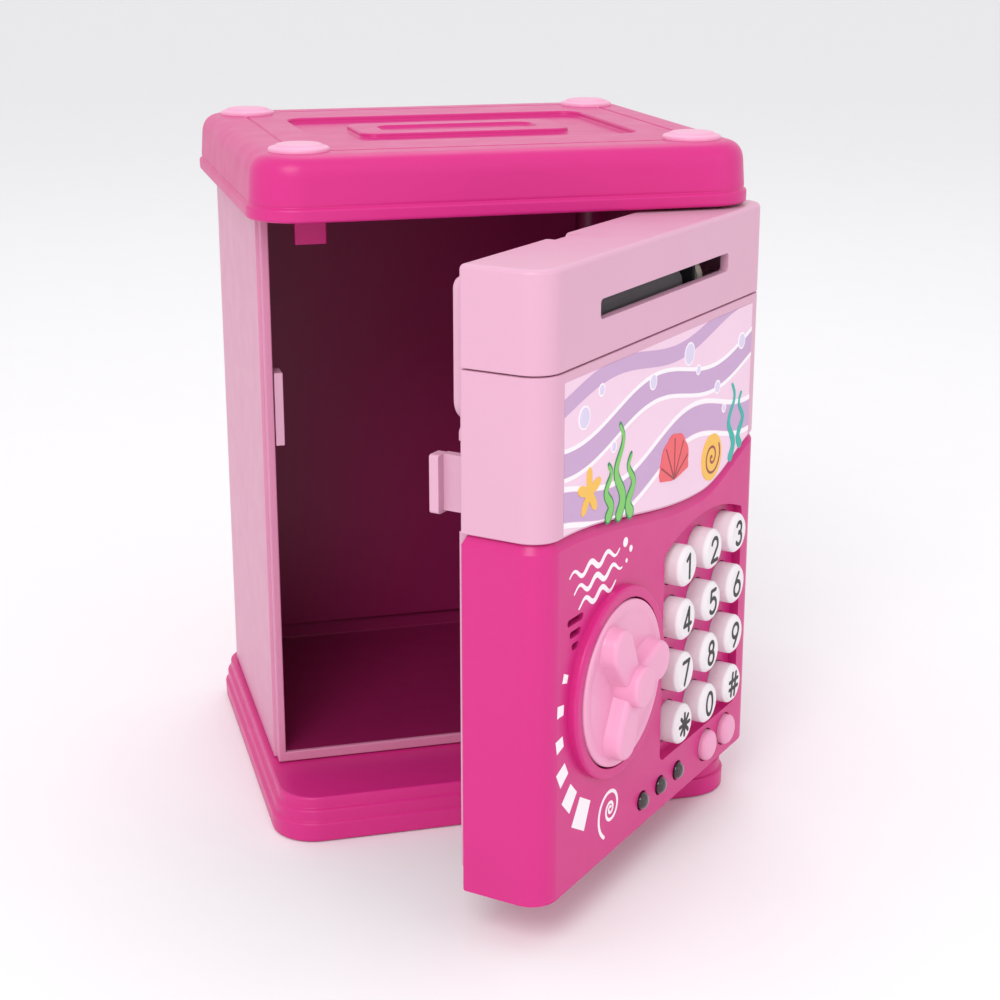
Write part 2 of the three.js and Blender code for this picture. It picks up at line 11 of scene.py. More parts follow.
import bmesh
import bpy
import numpy as np
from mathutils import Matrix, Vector


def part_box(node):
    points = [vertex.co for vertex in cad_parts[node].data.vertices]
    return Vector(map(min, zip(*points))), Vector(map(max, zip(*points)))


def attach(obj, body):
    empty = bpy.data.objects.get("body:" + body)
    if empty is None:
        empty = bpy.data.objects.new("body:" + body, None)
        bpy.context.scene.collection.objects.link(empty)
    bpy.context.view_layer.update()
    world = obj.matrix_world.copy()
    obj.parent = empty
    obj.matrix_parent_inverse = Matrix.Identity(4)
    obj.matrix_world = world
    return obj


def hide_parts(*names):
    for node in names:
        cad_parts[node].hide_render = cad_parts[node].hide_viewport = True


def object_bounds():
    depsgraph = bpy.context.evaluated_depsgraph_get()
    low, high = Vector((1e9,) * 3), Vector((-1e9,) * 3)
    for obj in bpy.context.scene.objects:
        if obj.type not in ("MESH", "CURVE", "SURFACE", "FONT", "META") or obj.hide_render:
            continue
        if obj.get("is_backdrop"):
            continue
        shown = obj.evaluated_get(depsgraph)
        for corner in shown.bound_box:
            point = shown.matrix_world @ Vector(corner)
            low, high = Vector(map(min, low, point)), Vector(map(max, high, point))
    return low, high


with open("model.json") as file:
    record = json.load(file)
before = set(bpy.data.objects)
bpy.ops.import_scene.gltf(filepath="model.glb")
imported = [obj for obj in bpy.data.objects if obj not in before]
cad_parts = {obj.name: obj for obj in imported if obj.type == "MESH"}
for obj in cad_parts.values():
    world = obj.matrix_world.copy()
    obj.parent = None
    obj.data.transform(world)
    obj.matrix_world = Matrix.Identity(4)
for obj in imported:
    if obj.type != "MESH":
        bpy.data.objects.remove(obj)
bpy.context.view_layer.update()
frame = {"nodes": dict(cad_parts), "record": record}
MM = 0.001

# %% [markdown]
# The door stands open at rest. Its pieces are far easier to think about when it is shut, because
# then every face lies along an axis. So each door piece is drawn in the shut place, and its
# points are then swung about the hinge by the opening angle, which the frame gives.

# %% Swinging the door's points open
hinge = next(j for j in frame["record"]["behaviour"]["joints"] if j["name"] == "door_hinge")
PIVOT = np.array([hinge["pos_m"][0], hinge["pos_m"][1], 0.0])
OPENING = -math.radians(hinge["range_deg"][0])


def swing(points, angle):
    """Turn points about the upright hinge line by an angle."""
    c, s = math.cos(angle), math.sin(angle)
    turn = np.array([[c, -s, 0], [s, c, 0], [0, 0, 1]])
    return (np.asarray(points, float) - PIVOT) @ turn.T + PIVOT


def shut_box(node):
    """Lowest and highest corner of a door node, in millimetres, with the door shut."""
    mesh = frame["nodes"][node].data
    points = np.empty(len(mesh.vertices) * 3)
    mesh.vertices.foreach_get("co", points)
    points = swing(points.reshape(-1, 3), -OPENING) / MM
    return points.min(0), points.max(0)


def mm_box(node):
    """Lowest and highest corner of a fixed node, in millimetres."""
    low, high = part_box(node)
    return np.array(low) / MM, np.array(high) / MM


front_low = shut_box("door_front")[0]
head_low, head_high = shut_box("door_head")
FRONT = shut_box("door_middle")[0][1]
REAR = head_high[1]
HALF = head_high[0]
print("door opens by", round(math.degrees(OPENING)), "degrees; front face at", round(FRONT, 2))

# %% [markdown]
# Every surface here is made from rings of points. A ring is a rounded rectangle with the same
# number of points whatever its size, so any ring can be joined to the next by a band of faces.
# A stack of rings with rounded steps between them gives the soft edges that moulded plastic has.

# %% Rings and lofts
CORNER_STEPS = 10


def ring(rect, grow=0.0, z=0.0, straight=1):
    """Rounded rectangle, counterclockwise from above: four quarter circles joined by straight
    runs of a few steps each. rect is x0, x1, y0, y1 and one radius or four."""
    x0, x1, y0, y1, radius = rect
    radii = np.broadcast_to(radius, 4)
    corners = ((x0, y0, 180), (x1, y0, 270), (x1, y1, 0), (x0, y1, 90))
    arcs = []
    for (x, y, start), r in zip(corners, radii):
        r = max(r + grow, 0.05)
        cx = x + (r - grow if x == x0 else grow - r)
        cy = y + (r - grow if y == y0 else grow - r)
        a = np.radians(start + np.linspace(0, 90, CORNER_STEPS + 1))
        arcs.append(np.stack([cx + r * np.cos(a), cy + r * np.sin(a)], 1))
    parts = []
    for arc, following in zip(arcs, arcs[1:] + arcs[:1]):
        t = np.linspace(0, 1, straight + 1)[1:-1, None]
        parts += [arc, arc[-1] * (1 - t) + following[0] * t]
    flat = np.concatenate(parts)
    return np.column_stack([flat, np.broadcast_to(z, len(flat))])


def step_rings(rect, z_from, z_to, soft):
    """Rings that cross a step at a rectangle's edge, coming from outside it: a quarter round at
    the level it leaves and a quarter round at the level it reaches."""
    up = math.copysign(1, z_to - z_from)
    a = np.radians(np.linspace(0, 90, 5))
    first = [(soft * (1 - math.sin(t)), z_from + up * soft * (1 - math.cos(t))) for t in a]
    last = [(-soft * (1 - math.cos(t)), z_to - up * soft * (1 - math.sin(t))) for t in a]
    return [ring(rect, grow, z) for grow, z in first + last]


def rounded(profile, steps=5):
    """A polyline of (x, y, radius) with each corner replaced by a curve that starts and ends
    its radius away from the corner."""
    points = []
    for i, (x, y, r) in enumerate(profile):
        here = np.array([x, y], float)
        if r == 0 or i in (0, len(profile) - 1):
            points.append(here)
            continue
        before = np.array(profile[i - 1][:2], float) - here
        after = np.array(profile[i + 1][:2], float) - here
        a = here + before / np.linalg.norm(before) * r
        b = here + after / np.linalg.norm(after) * r
        for t in np.linspace(0, 1, steps + 1):
            points.append(a * (1 - t) ** 2 + here * 2 * t * (1 - t) + b * t ** 2)
    return np.array(points)


def bands(count, size, closed):
    """Faces between neighbouring rings: each point to the next, and up to the next ring."""
    i = np.arange(count if closed else count - 1)[:, None]
    j = np.arange(size)[None, :]
    here, there = i * size, ((i + 1) % count) * size
    k = (j + 1) % size
    quads = np.stack([here + j, here + k, there + k, there + j], -1)
    return quads.reshape(-1, 4).tolist()


def finish_mesh(name, points, faces, door=False, angle=32):
    """Millimetres to metres, doubles merged, faces outward, smooth up to an edge angle."""
    points = np.asarray(points, float) * MM
    mesh = bpy.data.meshes.new(name)
    mesh.from_pydata((swing(points, OPENING) if door else points).tolist(), [], faces)
    work = bmesh.new()
    work.from_mesh(mesh)
    bmesh.ops.remove_doubles(work, verts=work.verts, dist=1e-6)
    bmesh.ops.recalc_face_normals(work, faces=work.faces)
    work.to_mesh(mesh)
    work.free()
    piece = bpy.data.objects.new(name, mesh)
    bpy.context.collection.objects.link(piece)
    smooth(piece, angle)
    return piece


def smooth(piece, angle=32):
    piece.data.shade_smooth()
    piece.data.set_sharp_from_angle(angle=math.radians(angle))


def loft(name, rings, closed=False, door=False, angle=32):
    """Join rings in order. The two ends are capped, or joined to each other when closed."""
    size = len(rings[0])
    faces = bands(len(rings), size, closed)
    if not closed:
        last = (len(rings) - 1) * size
        faces += [list(range(size))[::-1], list(range(last, last + size))]
    return finish_mesh(name, np.concatenate(rings), faces, door, angle)


def turned(name, profile, centre, door=True, sides=64, axis="y", angle=32):
    """Spin a profile of (radius, place along the axis) about that axis."""
    a = np.arange(sides) * 2 * math.pi / sides
    x, z = centre
    rings = []
    for r, t in profile:
        r = max(r, 0.02)
        if axis == "y":
            rings.append(np.column_stack([x + r * np.cos(a), np.full(sides, t), z + r * np.sin(a)]))
        else:
            rings.append(np.column_stack([x + r * np.cos(a), z + r * np.sin(a), np.full(sides, t)]))
    return loft(name, rings, door=door, angle=angle)


print("ring of", len(ring((0, 1, 0, 1, 0.2))), "points")

# %% [markdown]
# Holes are cut with booleans, as a tool would cut them. A cutter is a closed prism or rod. After
# the cuts a narrow bevel breaks the sharp edges, because no moulded edge is perfectly sharp and
# the thin highlight along it is what makes plastic look real.

# %% Cutting and softening


def prism(outline, y0, y1):
    """Carry an (x, z) outline straight back from y0 to y1."""
    outline = np.asarray(outline, float)
    low = np.column_stack([outline[:, 0], np.full(len(outline), y0), outline[:, 1]])
    high = low + [0, y1 - y0, 0]
    return loft("cutter", [low, high], door=True)


def rod(x, z, radius, y0, y1, sides=48):
    return turned("cutter", [(radius, y0), (radius, y1)], (x, z), sides=sides)


def boolean(piece, tool, operation="DIFFERENCE"):
    """Apply an exact boolean and remove the tool."""
    modifier = piece.modifiers.new("cut", "BOOLEAN")
    modifier.operation = operation
    modifier.solver = "EXACT"
    modifier.object = tool
    apply_modifiers(piece)
    bpy.data.objects.remove(tool, do_unlink=True)


def pin_hole(piece, pin, clearance=0.3):
    """Cut the hole that a hinge pin stands in, a little wider and longer than the pin."""
    low, high = mm_box(pin)
    radius = (high[0] - low[0]) / 2 + clearance
    ends = [(radius, low[2] - clearance), (radius, high[2] + clearance)]
    boolean(piece, turned("cutter", ends, PIVOT[:2] / MM, door=False, axis="z", sides=32))


def apply_modifiers(piece):
    graph = bpy.context.evaluated_depsgraph_get()
    graph.update()
    mesh = bpy.data.meshes.new_from_object(piece.evaluated_get(graph), depsgraph=graph)
    piece.modifiers.clear()
    piece.data = mesh


def soften(piece, width=0.35, angle=34):
    """Merge coplanar faces, then bevel the sharp edges."""
    work = bmesh.new()
    work.from_mesh(piece.data)
    bmesh.ops.remove_doubles(work, verts=work.verts, dist=2e-6)
    bmesh.ops.dissolve_limit(work, angle_limit=math.radians(0.6), verts=work.verts, edges=work.edges)
    work.to_mesh(piece.data)
    work.free()
    modifier = piece.modifiers.new("soft edge", "BEVEL")
    modifier.width = width * MM
    modifier.segments = 3
    modifier.limit_method = "ANGLE"
    modifier.angle_limit = math.radians(angle)
    modifier.use_clamp_overlap = True
    modifier.harden_normals = False
    apply_modifiers(piece)
    smooth(piece, 40)
    return piece


def softened_copy(node, width=0.35):
    """A copy of a CAD node with its edges broken, which then stands for the node."""
    piece = frame["nodes"][node].copy()
    piece.data = piece.data.copy()
    piece.name = node + "_moulding"
    piece.parent = None
    piece.matrix_world = frame["nodes"][node].matrix_world.copy()
    bpy.context.collection.objects.link(piece)
    piece.data.materials.clear()
    return soften(piece, width)


def flatten_shading(piece):
    """Let big flat faces decide the normals they share with small bevel faces."""
    modifier = piece.modifiers.new("shading", "WEIGHTED_NORMAL")
    modifier.weight = 60
    modifier.keep_sharp = True
    apply_modifiers(piece)


def joined(name, pieces):
    """Several meshes as one piece."""
    work = bmesh.new()
    for piece in pieces:
        work.from_mesh(piece.data)
        bpy.data.objects.remove(piece, do_unlink=True)
    mesh = bpy.data.meshes.new(name)
    work.to_mesh(mesh)
    work.free()
    result = bpy.data.objects.new(name, mesh)
    bpy.context.collection.objects.link(result)
    return result


def place(piece, body, material, *nodes, slot=None):
    """Give a piece its body and finish, and the CAD nodes that it stands for."""
    flatten_shading(piece)
    piece.data.materials.clear()
    piece.data.materials.append(material)
    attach(piece, body)
    if nodes:
        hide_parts(*nodes)
    return piece

# %% [markdown]
# Coloured ABS is never one flat colour: the pigment clouds a little, the gloss varies where the
# mould was polished, and the surface may have a very fine ripple. One helper builds that finish, and
# each plastic states its own colour, cloud and gloss.

# %% Plastic finishes


def plastic(name, colour, rough=0.3, cloud=0.06, ripple=0.02, coat=0.0, shine=0.4):
    """Principled plastic. Noise in object space moves the colour a little lighter and darker,
    a second noise moves the roughness, and a fine third noise ripples the surface."""
    material = bpy.data.materials.new(name)
    material.use_nodes = True
    tree = material.node_tree
    nodes, link = tree.nodes, tree.links.new
    shader = nodes["Principled BSDF"]
    place_node = nodes.new("ShaderNodeTexCoord")
    clouds = nodes.new("ShaderNodeTexNoise")
    clouds.inputs["Scale"].default_value = 38
    clouds.inputs["Detail"].default_value = 3
    mix = nodes.new("ShaderNodeMix")
    mix.data_type = "RGBA"
    colour = np.array(colour)
    mix.inputs[6].default_value = (*(colour * (1 - cloud)), 1)
    mix.inputs[7].default_value = (*np.minimum(colour * (1 + cloud), 1), 1)
    gloss = nodes.new("ShaderNodeTexNoise")
    gloss.inputs["Scale"].default_value = 120
    gloss_range = nodes.new("ShaderNodeMapRange")
    gloss_range.inputs["To Min"].default_value = rough * 0.8
    gloss_range.inputs["To Max"].default_value = rough * 1.2
    fine = nodes.new("ShaderNodeTexNoise")
    fine.inputs["Scale"].default_value = 260
    fine.inputs["Detail"].default_value = 1
    bump = nodes.new("ShaderNodeBump")
    bump.inputs["Strength"].default_value = ripple
    bump.inputs["Distance"].default_value = 0.0004
    for noise in (clouds, gloss, fine):
        link(place_node.outputs["Object"], noise.inputs["Vector"])
    link(clouds.outputs[0], mix.inputs[0])
    link(mix.outputs[2], shader.inputs["Base Color"])
    link(gloss.outputs[0], gloss_range.inputs["Value"])
    link(gloss_range.outputs[0], shader.inputs["Roughness"])
    link(fine.outputs[0], bump.inputs["Height"])
    link(bump.outputs[0], shader.inputs["Normal"])
    shader.inputs["Specular IOR Level"].default_value = shine
    shader.inputs["Coat Weight"].default_value = coat
    shader.inputs["Coat Roughness"].default_value = 0.12
    return material


hot_pink = plastic("hot pink ABS", (0.61, 0.022, 0.212), 0.34, 0.03, 0.0, 0.0, 0.32)
pale_pink = plastic("pale pink ABS", (0.68, 0.37, 0.505), 0.36, 0.02, 0.012)
dial_pink = plastic("dial pink ABS", (0.81, 0.35, 0.54), 0.34, 0.02, 0.010)
key_white = plastic("key white", (0.82, 0.78, 0.81), 0.34, 0.02, 0.010)
ink_black = plastic("digit ink", (0.010, 0.009, 0.010), 0.45, 0.2, 0.02)
ink_white = plastic("white ink", (0.92, 0.87, 0.91), 0.5, 0.02, 0.02)
lamp_black = plastic("smoked lamp", (0.016, 0.006, 0.009), 0.08, 0.2, 0.0, 1.0)
steel = plastic("steel", (0.52, 0.53, 0.55), 0.3, 0.1, 0.05)
steel.node_tree.nodes["Principled BSDF"].inputs["Metallic"].default_value = 1.0
dark_plastic = plastic("dark plastic", (0.035, 0.035, 0.04), 0.5, 0.2, 0.1)
gear_white = plastic("gear acetal", (0.75, 0.71, 0.60), 0.45, 0.05, 0.03)
rubber = plastic("roller rubber", (0.25, 0.24, 0.25), 0.75, 0.15, 0.2)
board_green = plastic("circuit board", (0.012, 0.15, 0.05), 0.4, 0.2, 0.05)
cell_skin = plastic("cell sleeve", (0.02, 0.03, 0.06), 0.35, 0.2, 0.02)

# %% [markdown]
# The money box is pale pink outside. Inside, where it lies in shade, its colour is painted dark maroon as
# painted shade.
# One material can do both: a mask from the object coordinates is one inside the inner box and zero outside
# it.

# %% Plastic with painted shade inside


def painted_shade_inside(name, outside, inside, low, high):
    """Mix the outside colour with a painted shade colour by whether a point lies inside a box, from six
    comparisons multiplied.
    """
    material = plastic(name, outside, 0.34, 0.03, 0.03)
    tree = material.node_tree
    nodes, link = tree.nodes, tree.links.new
    shader = nodes["Principled BSDF"]
    split = nodes.new("ShaderNodeSeparateXYZ")
    coordinates = next(n for n in nodes if n.bl_idname == "ShaderNodeTexCoord")
    link(coordinates.outputs["Object"], split.inputs[0])
    product = None
    for axis in range(3):
        for limit, test in ((low[axis], "GREATER_THAN"), (high[axis], "LESS_THAN")):
            compare = nodes.new("ShaderNodeMath")
            compare.operation = test
            link(split.outputs[axis], compare.inputs[0])
            compare.inputs[1].default_value = limit * MM
            if product is not None:
                both = nodes.new("ShaderNodeMath")
                both.operation = "MULTIPLY"
                link(product, both.inputs[0])
                link(compare.outputs[0], both.inputs[1])
                product = both.outputs[0]
            else:
                product = compare.outputs[0]
    blend = nodes.new("ShaderNodeMix")
    blend.data_type = "RGBA"
    old = shader.inputs["Base Color"].links[0].from_socket
    link(product, blend.inputs[0])
    link(old, blend.inputs[6])
    blend.inputs[7].default_value = (*inside, 1)
    link(blend.outputs[2], shader.inputs["Base Color"])
    return material


body_low, body_high = mm_box("body_shell")
WALL = 3.0
# Painted shade: the dark maroon given to the inside of the box, where it lies in shade.
painted_inner_shade = (0.26, 0.010, 0.085)
room_low = body_low + [WALL - 0.2, 1.2, WALL - 0.2]
room_high = body_high + [0.2 - WALL, 0.2 - WALL, 1]
room_low[2] -= 0.3
# The pale body and the hot pink rear panel both take this painted shade on their faces inside the box.
body_pink = painted_shade_inside("body pink, lined", (0.63, 0.235, 0.385), painted_inner_shade, room_low, room_high)
panel_pink = painted_shade_inside("rear panel pink", (0.70, 0.02, 0.22), painted_inner_shade, room_low,
                   room_high)

# %% [markdown]
# The lid is one loft. Going outward and round, the rings run from the coin slot, across the
# hollow underneath, down to the rim, up the side past a thin groove, over the big soft edge,
# and back in across the engraved border and the sunk frame to the slot again.

# %% Lid
lid_low, lid_high = mm_box("lid")
LID_TOP = 194.0
LID_BOTTOM = 177.0
lid_rect = (lid_low[0], lid_high[0], lid_low[1], lid_high[1], 14.0)
slot_rect = (-17, 17, -2.3, 2.3, 2.25)
hollow_rect = (-60.5, 60.5, -33.5, 55, 6)
side = rounded([(-3, LID_BOTTOM, 0), (0, LID_BOTTOM, 1.1), (0, LID_BOTTOM + 3.4, 0.5),
                (-0.9, LID_BOTTOM + 3.9, 0.3), (-0.7, LID_BOTTOM + 4.5, 0.3),
                (-1.6, LID_TOP, 5.6), (-9.4, LID_TOP, 0)], 8)
lid_rings = [ring(slot_rect, 0, LID_TOP - 4), ring(hollow_rect, 0, LID_TOP - 4),
             ring(hollow_rect, 0, LID_BOTTOM)]
lid_rings += [ring(lid_rect, grow, z) for grow, z in side]
border = (-56.5, 56.5, -51.5, 51.5, 7)
for grow, z in ((0.6, 0), (0.2, -0.45), (-0.2, -0.45), (-0.6, 0)):
    lid_rings.append(ring(border, grow, LID_TOP + z))
lid_rings += step_rings((-46, 46, -32, 32, 6), LID_TOP, LID_TOP - 1.6, 0.7)
lid_rings += step_rings((-31, 31, -14, 14, 5), LID_TOP - 1.6, LID_TOP - 0.2, 0.6)
lid_rings += [ring((-23, 23, -6.6, 6.6, 4), g, LID_TOP - 0.2 + z)
              for g, z in ((0.5, 0), (0, -0.7), (-0.5, -0.9))]
lid_rings += [ring(slot_rect, g, LID_TOP - 1.1 + z) for g, z in ((0.8, 0), (0.2, -0.2), (0, -0.8))]
lid = loft("lid_moulding", lid_rings, closed=True)
tab = loft("tab", [ring((-54, -45, REAR + 5, REAR + 7.6, 0.5), 0, z) for z in (lid_low[2], LID_TOP - 3.5)])
boolean(lid, tab, "UNION")
pin_hole(lid, "hinge_pin_upper")
smooth(lid, 32)
place(lid, "case", hot_pink, "lid", slot="hot_pink")
print("lid:", len(lid.data.polygons), "faces")

# %% [markdown]
# Four pale caps plug the lid's corners. Each is a low dome with a flat step round it, so it is
# a turned profile.

# %% Lid caps
for i in range(1, 5):
    low, high = mm_box(f"lid_cap_{i}")
    centre = ((low[0] + high[0]) / 2, (low[1] + high[1]) / 2)
    profile = rounded([(0, low[2], 0), (8.2, low[2], 0), (8.2, LID_TOP + 0.9, 0.6),
                       (6.6, LID_TOP + 1.35, 0.5), (5.9, LID_TOP + 1.9, 0.7), (0, LID_TOP + 2.0, 0)])
    cap = turned(f"lid_cap_dome_{i}", profile, centre, door=False, axis="z", sides=48)
    place(cap, "case", dial_pink, f"lid_cap_{i}", slot="dial_pink")

# %% [markdown]
# The base mirrors the lid: a low slab that is widest at the foot, with two soft ridges where it
# steps in towards the body. The screws underneath sit in their own recesses.

# %% Base
base_low, base_high = mm_box("base")
base_rect = (base_low[0], base_high[0], base_low[1], base_high[1], 13.0)
profile = rounded([(-3, 0, 0), (-0.2, 0, 0.8), (0, 5.6, 0.5), (-0.9, 6.0, 0.3), (-0.9, 9.3, 0.5),
                   (-1.9, 9.7, 0.3), (-2.0, base_high[2], 0.9), (-6, base_high[2], 0)], 5)
base = loft("base_moulding", [ring(base_rect, grow, z) for grow, z in profile])
for i in range(1, 5):
    low, high = mm_box(f"base_screw_{i}")
    centre = ((low[0] + high[0]) / 2, (low[1] + high[1]) / 2)
    for radius, bottom, top in ((3.4, -1, 1.6), (1.8, 0, 11)):
        cutter = turned("cutter", [(radius, bottom), (radius, top)], centre, door=False, axis="z", sides=24)
        boolean(base, cutter)
pin_hole(base, "hinge_pin_lower")
smooth(base, 32)
place(base, "case", hot_pink, "base", slot="hot_pink")

# %% [markdown]
# The body's walls are plain sheets with square ends, so a softened copy of the CAD shell is enough: the copy
# gets a narrow bevel on every edge and the material whose inside is painted dark maroon as painted shade.

# %% Body, rear panel and catch
place(softened_copy("body_shell", 0.45), "case", body_pink, "body_shell", slot="pale_pink")
place(softened_copy("rear_panel", 0.5), "case", panel_pink, "rear_panel", slot="hot_pink")
place(softened_copy("latch_catch", 0.25), "case", pale_pink, "latch_catch", slot="pale_pink")

# %% [markdown]
# The door's three front shells share one outline: big rounds at the front corners and a small
# round about the hinge. The seam between the middle and lower shells is a wave, made of two
# half cosines, and the lower shell's edge is bevelled back so that it catches the light.

# %% The wavy seam
CREST, TROUGH, RISE = 109.9, 100.7, 10.4


def seam(x):
    """Height of the seam: level at the left, a fall to the trough at x = 24, then a rise."""
    x = np.clip(x, -59, HALF)
    fall = TROUGH + (CREST - TROUGH) / 2 * (1 + np.cos(np.pi * (x + 59) / 83))
    rise = TROUGH + RISE / 2 * (1 - np.cos(np.pi * (x - 24) / 44))
    return np.where(x < 24, fall, rise)


door_rect = (-HALF, HALF, FRONT, REAR, (7.4, 7.4, 3.5, 1.0))
cavity_rect = (-HALF + 2.4, HALF - 2.4, FRONT + 2.4, REAR + 6, (5, 5, 0.3, 0.3))
ALONG = 48


def shell(name, low_edge, high_edge, cavity):
    """Loft the shared outline through (grow, height above the edge) pairs at both ends, where an
    edge is a height or a function of x, then cut the cavity out from behind."""
    rings = []
    for edge, steps in (low_edge, high_edge):
        for grow, dz in steps:
            flat = ring(door_rect, grow, 0, ALONG)
            flat[:, 2] = (edge(flat[:, 0]) if callable(edge) else edge) + dz
            rings.append(flat)
    piece = loft(name, rings, door=True)
    cutter = loft("cutter", [ring(cavity_rect, 0, z) for z in cavity], door=True)
    boolean(piece, cutter)
    return piece


soft_low = ((-0.5, 0), (-0.15, 0.15), (0, 0.5))
soft_high = ((0, -1.3), (-0.13, -0.8), (-0.42, -0.36), (-0.85, -0.1), (-1.4, 0))
thin_high = ((0, -0.5), (-0.15, -0.15), (-0.5, 0))
HEAD_BOTTOM = head_low[2]
head = shell("door_head_moulding", (HEAD_BOTTOM, soft_low), (head_high[2], soft_high),
             (HEAD_BOTTOM - 2, head_high[2] - 2.4))
middle = shell("door_middle_moulding", (seam, ((-1.6, 0.25), (-0.5, 0.25), (0, 0.6))),
               (HEAD_BOTTOM - 0.3, thin_high), (80, HEAD_BOTTOM + 2))
bevel_high = ((0, -2.6), (-0.12, -2.35), (-1.25, -0.35), (-1.5, -0.1), (-2.0, 0))
lower = shell("door_front_moulding", (front_low[2], soft_low), (seam, bevel_high),
              (front_low[2] + 2.4, 125))
pin_hole(lower, "hinge_pin_lower")
pin_hole(head, "hinge_pin_upper")
print("shells:", [len(s.data.polygons) for s in (head, middle, lower)])

# %% [markdown]
# The head takes banknotes, so it has one long slot with soft lips.

# %% Banknote slot
SLOT_LOW, SLOT_HIGH, SLOT_HALF = 160.5, 165.5, 38.0


def xz_ring(rect, grow=0.0):
    """The same rounded rectangle as an (x, z) outline."""
    return ring(rect, grow, 0)[:, :2]


note_rect = (-SLOT_HALF, SLOT_HALF, SLOT_LOW, SLOT_HIGH, 1.2)
boolean(head, prism(xz_ring(note_rect), FRONT - 2, FRONT + 6))
notch = prism(xz_ring((-24, -12, head_high[2] - 1.2, head_high[2] + 3, 0.3)), REAR - 4.6, REAR + 3)
boolean(head, notch)
soften(head, 0.3)
smooth(middle, 32)
place(head, "door", pale_pink, "door_head", slot="pale_pink")
place(middle, "door", pale_pink, "door_middle", slot="pale_pink")

# %% [markdown]
# The control panel gets all its openings before it is softened: the arched keypad recess, the
# key holes, the round seat and ring of the dial, and the holes for lamps, buttons and sound.

# %% Control panel
KEYS = {}
for label in "1 2 3 4 5 6 7 8 9 star 0 hash".split():
    low, high = shut_box("key_" + label)
    KEYS[label] = ((low[0] + high[0]) / 2, (low[2] + high[2]) / 2)
KEYPAD_X = KEYS["2"][0]
KEYPAD_HALF, KEYPAD_BOTTOM, KEYPAD_SIDES, KEYPAD_APEX = 26, 28.6, 88.9, 94.5
dial_low, dial_high = shut_box("dial")
DIAL = ((dial_low[0] + dial_high[0]) / 2, (dial_low[2] + dial_high[2]) / 2)
DIAL_RADIUS = (dial_high[0] - dial_low[0]) / 2
print("dial centre", np.round(DIAL, 2), "radius", round(DIAL_RADIUS, 2))


def keypad_outline(grow=0.0):
    """A rounded rectangle whose top side is an arc that rises to the apex."""
    half = KEYPAD_HALF + grow
    arch = KEYPAD_APEX - KEYPAD_SIDES
    radius = (half ** 2 + arch ** 2) / (2 * arch)
    x = np.linspace(half - 2.2, 2.2 - half, 33)
    top = KEYPAD_APEX + grow - radius + np.sqrt(radius ** 2 - x ** 2)
    corner = np.radians(np.linspace(0, 90, 7)[:-1])
    right = np.stack([half - 2.2 + 2.2 * np.cos(corner), top[0] - 2.2 + 2.2 * np.sin(corner)], 1)
    left = right[::-1] * [-1, 1]
    low = KEYPAD_BOTTOM - grow
    under = np.radians(np.linspace(180, 270, 7))
    foot = np.stack([2.5 - half + 2.5 * np.cos(under), low + 2.5 + 2.5 * np.sin(under)], 1)
    outline = np.concatenate([right, np.stack([x, top], 1), left, foot, foot[::-1] * [-1, 1]])
    return outline + [KEYPAD_X, 0]


RECESS_FLOOR = FRONT + 2.6
pad = prism([(-0.5, 27.8), (56.3, 27.8), (56.3, 96), (-0.5, 96)], FRONT + 1.9, FRONT + 4.9)
boolean(lower, pad, "UNION")
RING = 25.6
ring_profile = rounded([(0, FRONT + 1, 0), (RING, FRONT + 1, 0), (RING, FRONT - 2.4, 1.0),
                        (DIAL_RADIUS + 0.5, FRONT - 2.4, 0)])
ring_profile = np.vstack([ring_profile, [[0, FRONT - 2.4]]])
boolean(lower, turned("ring", ring_profile, DIAL, sides=96), "UNION")
boolean(lower, prism(keypad_outline(), FRONT - 3, RECESS_FLOOR))
boolean(lower, rod(*DIAL, DIAL_RADIUS + 0.5, FRONT - 6, FRONT + 1, 96))


def middle_of(node):
    """Centre of a door node on the face, as (x, z)."""
    low, high = shut_box(node)
    return (low[0] + high[0]) / 2, (low[2] + high[2]) / 2


SHAFT_HOLE, KEY_HOLE, LAMP_HOLE, BUTTON_HOLE = 3.4, 6.1, 2.85, 4.95
SOUND_X, SOUND_HALF = -49.2, 0.92
LAMPS = {i: middle_of(f"led_{i}") for i in range(1, 4)}
BUTTONS = {i: middle_of(f"button_{i}") for i in range(1, 3)}
holes = [(*DIAL, SHAFT_HOLE)] + [(*spot, KEY_HOLE) for spot in KEYS.values()]
holes += [(*spot, LAMP_HOLE) for spot in LAMPS.values()]
holes += [(*spot, BUTTON_HOLE) for spot in BUTTONS.values()]
cutters = [rod(x, z, radius, FRONT - 3, FRONT + 6) for x, z, radius in holes]
for length, z in ((8.4, 87.3), (6.0, 83.9), (3.8, 80.5)):
    rect = (SOUND_X - length / 2, SOUND_X + length / 2, z - SOUND_HALF, z + SOUND_HALF, 0.85)
    cutters.append(prism(xz_ring(rect), FRONT - 3, FRONT + 6))
boolean(lower, joined("cutters", cutters))
soften(lower, 0.3, 38)
place(lower, "door", hot_pink, "door_front", slot="hot_pink")
print("control panel:", len(lower.data.polygons), "faces")

# %% [markdown]
# The dial is a disc with three propeller blades and a raised hub. Each blade is a tapered
# capsule in outline: a small circle at the hub and a bigger one at the tip, joined by their
# common tangents. Rings of that outline, drawn in at the top, give its soft edge. All of it is
# then joined into one moulding.

# %% Dial
BLADE_LENGTH, BLADE_ROOT, BLADE_TIP = 14.4, 3.4, 5.6
BLADE_ANGLES = (8, 122, 250)


